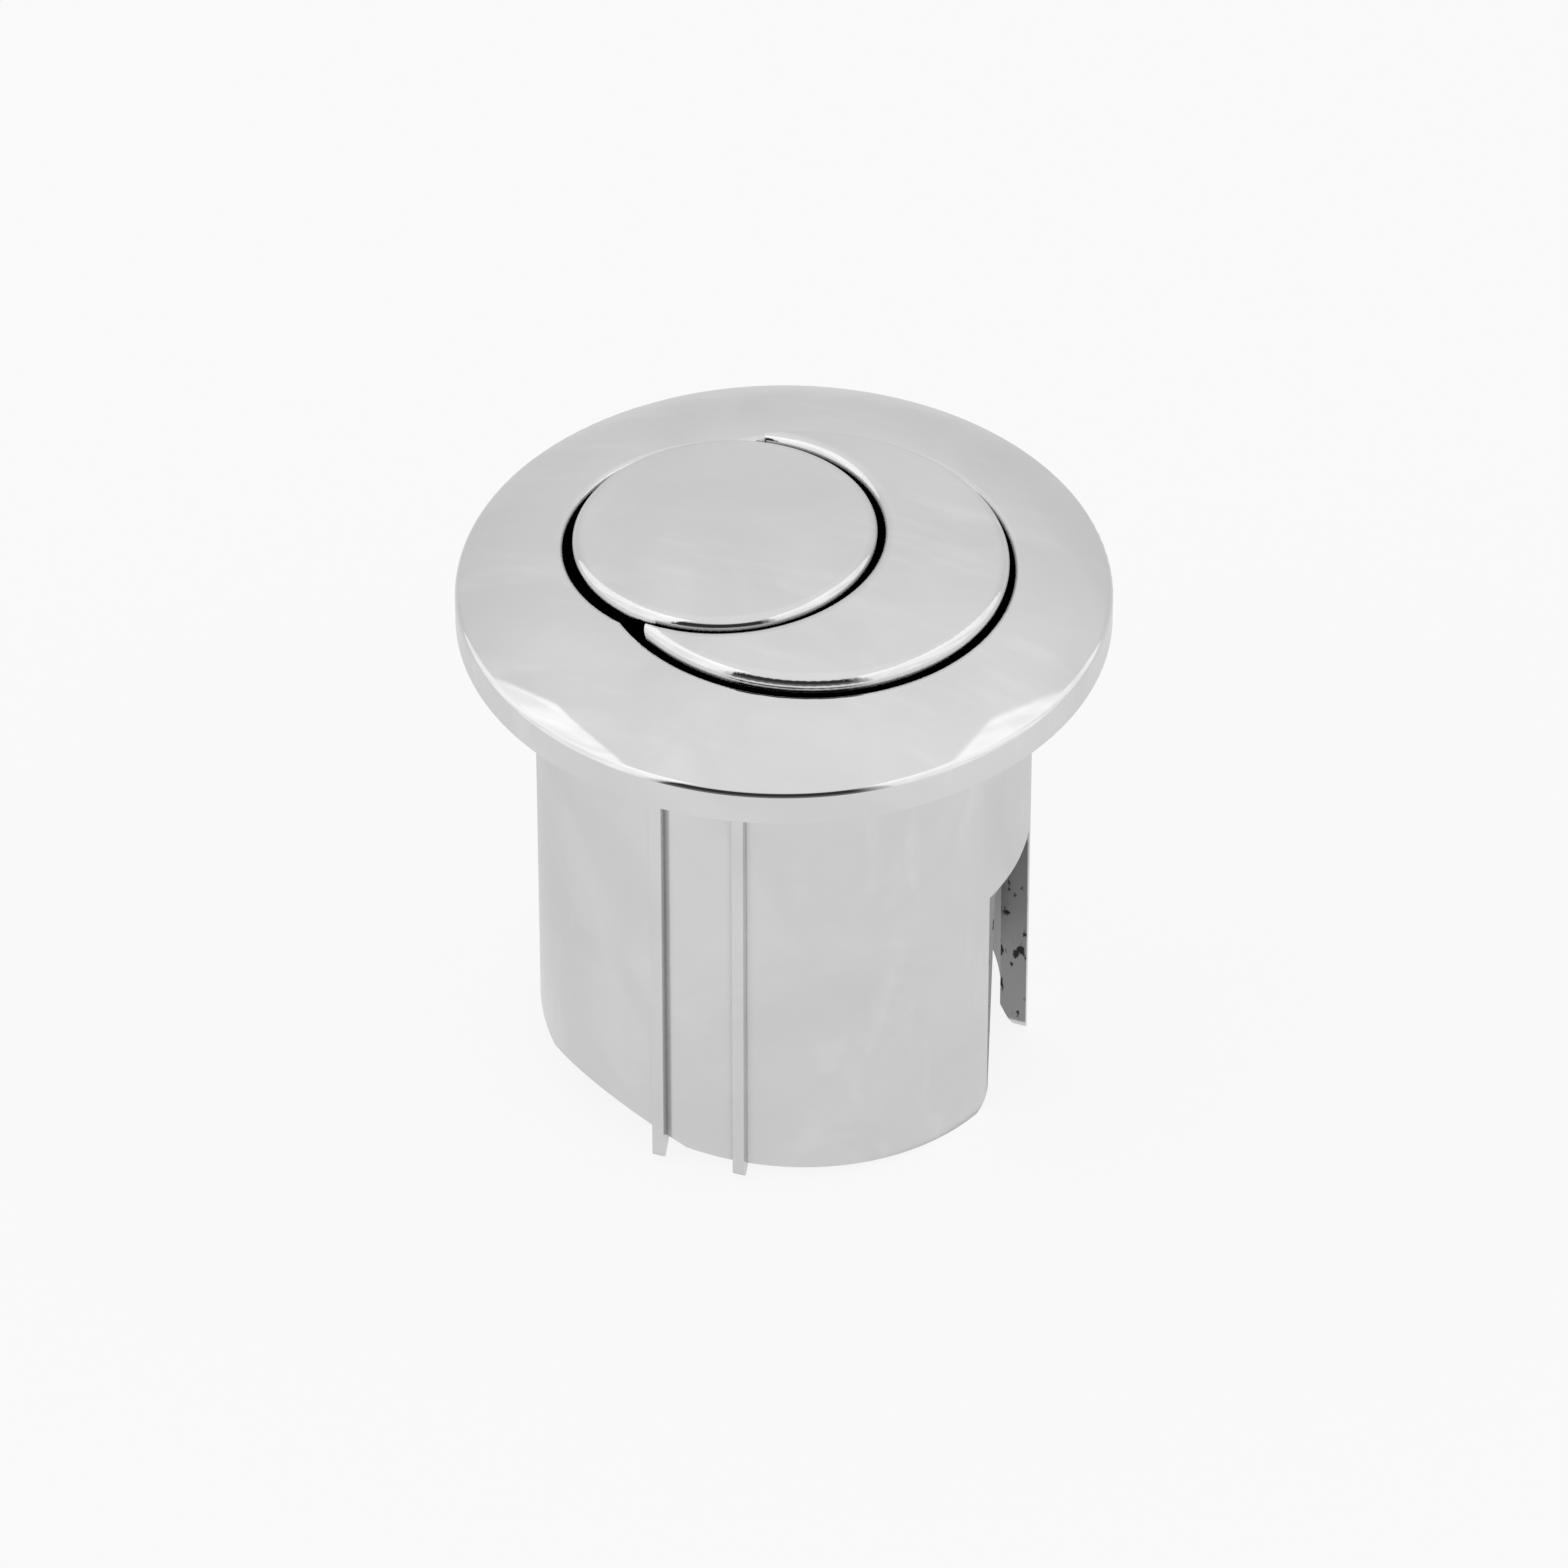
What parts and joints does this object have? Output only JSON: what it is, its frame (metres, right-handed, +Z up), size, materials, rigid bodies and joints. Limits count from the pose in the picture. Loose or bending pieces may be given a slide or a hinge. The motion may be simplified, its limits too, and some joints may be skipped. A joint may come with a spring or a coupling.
{
  "type": "push button cistern actuator",
  "caption": "Dual-flush push button for a cistern lid: domed round flange on a slotted skirt, with a round cap nested in a crescent cap, each sprung on its own push rod.",
  "frame": {"origin": "Centre of the seat under the flange, on the skirt's axis, where the lid's top face meets it.", "axes": "+Z up out of the lid along the skirt's axis; +X towards the crescent cap and the slot in the skirt."},
  "size_m": [0.063, 0.063, 0.0602],
  "materials": {
    "bezel_chrome": "bright chrome plate on moulded plastic",
    "cap_chrome": "bright chrome plate on moulded plastic",
    "carrier_plastic": "black moulded plastic",
    "stem_plastic": "white moulded acetal",
    "rod_plastic": "grey moulded acetal",
    "spring_steel": "drawn stainless wire",
    "steel": "stainless steel"
  },
  "bodies": {
    "bezel": {"bezel_body": "bezel_chrome", "carrier": "carrier_plastic", "carrier_screws": "steel", "half_flush_spring": "spring_steel", "full_flush_spring": "spring_steel"},
    "half_flush": {"half_flush_cap": "cap_chrome", "half_flush_plunger": "stem_plastic", "half_flush_clip": "steel", "half_flush_rod": "rod_plastic", "half_flush_nut": "rod_plastic"},
    "full_flush": {"full_flush_cap": "cap_chrome", "full_flush_plunger": "stem_plastic", "full_flush_clip": "steel", "full_flush_rod": "rod_plastic", "full_flush_nut": "rod_plastic"}
  },
  "joints": [
    {"name": "half_flush_press", "type": "slide", "parent": "bezel", "child": "half_flush", "axis": [0, 0, -1], "range_m": [0, 0.007], "stiffness_N_per_m": 400, "springref_m": -0.005, "deforming": ["half_flush_spring"]},
    {"name": "full_flush_press", "type": "slide", "parent": "bezel", "child": "full_flush", "axis": [0, 0, -1], "range_m": [0, 0.007], "stiffness_N_per_m": 400, "springref_m": -0.005, "deforming": ["full_flush_spring"]}
  ]
}
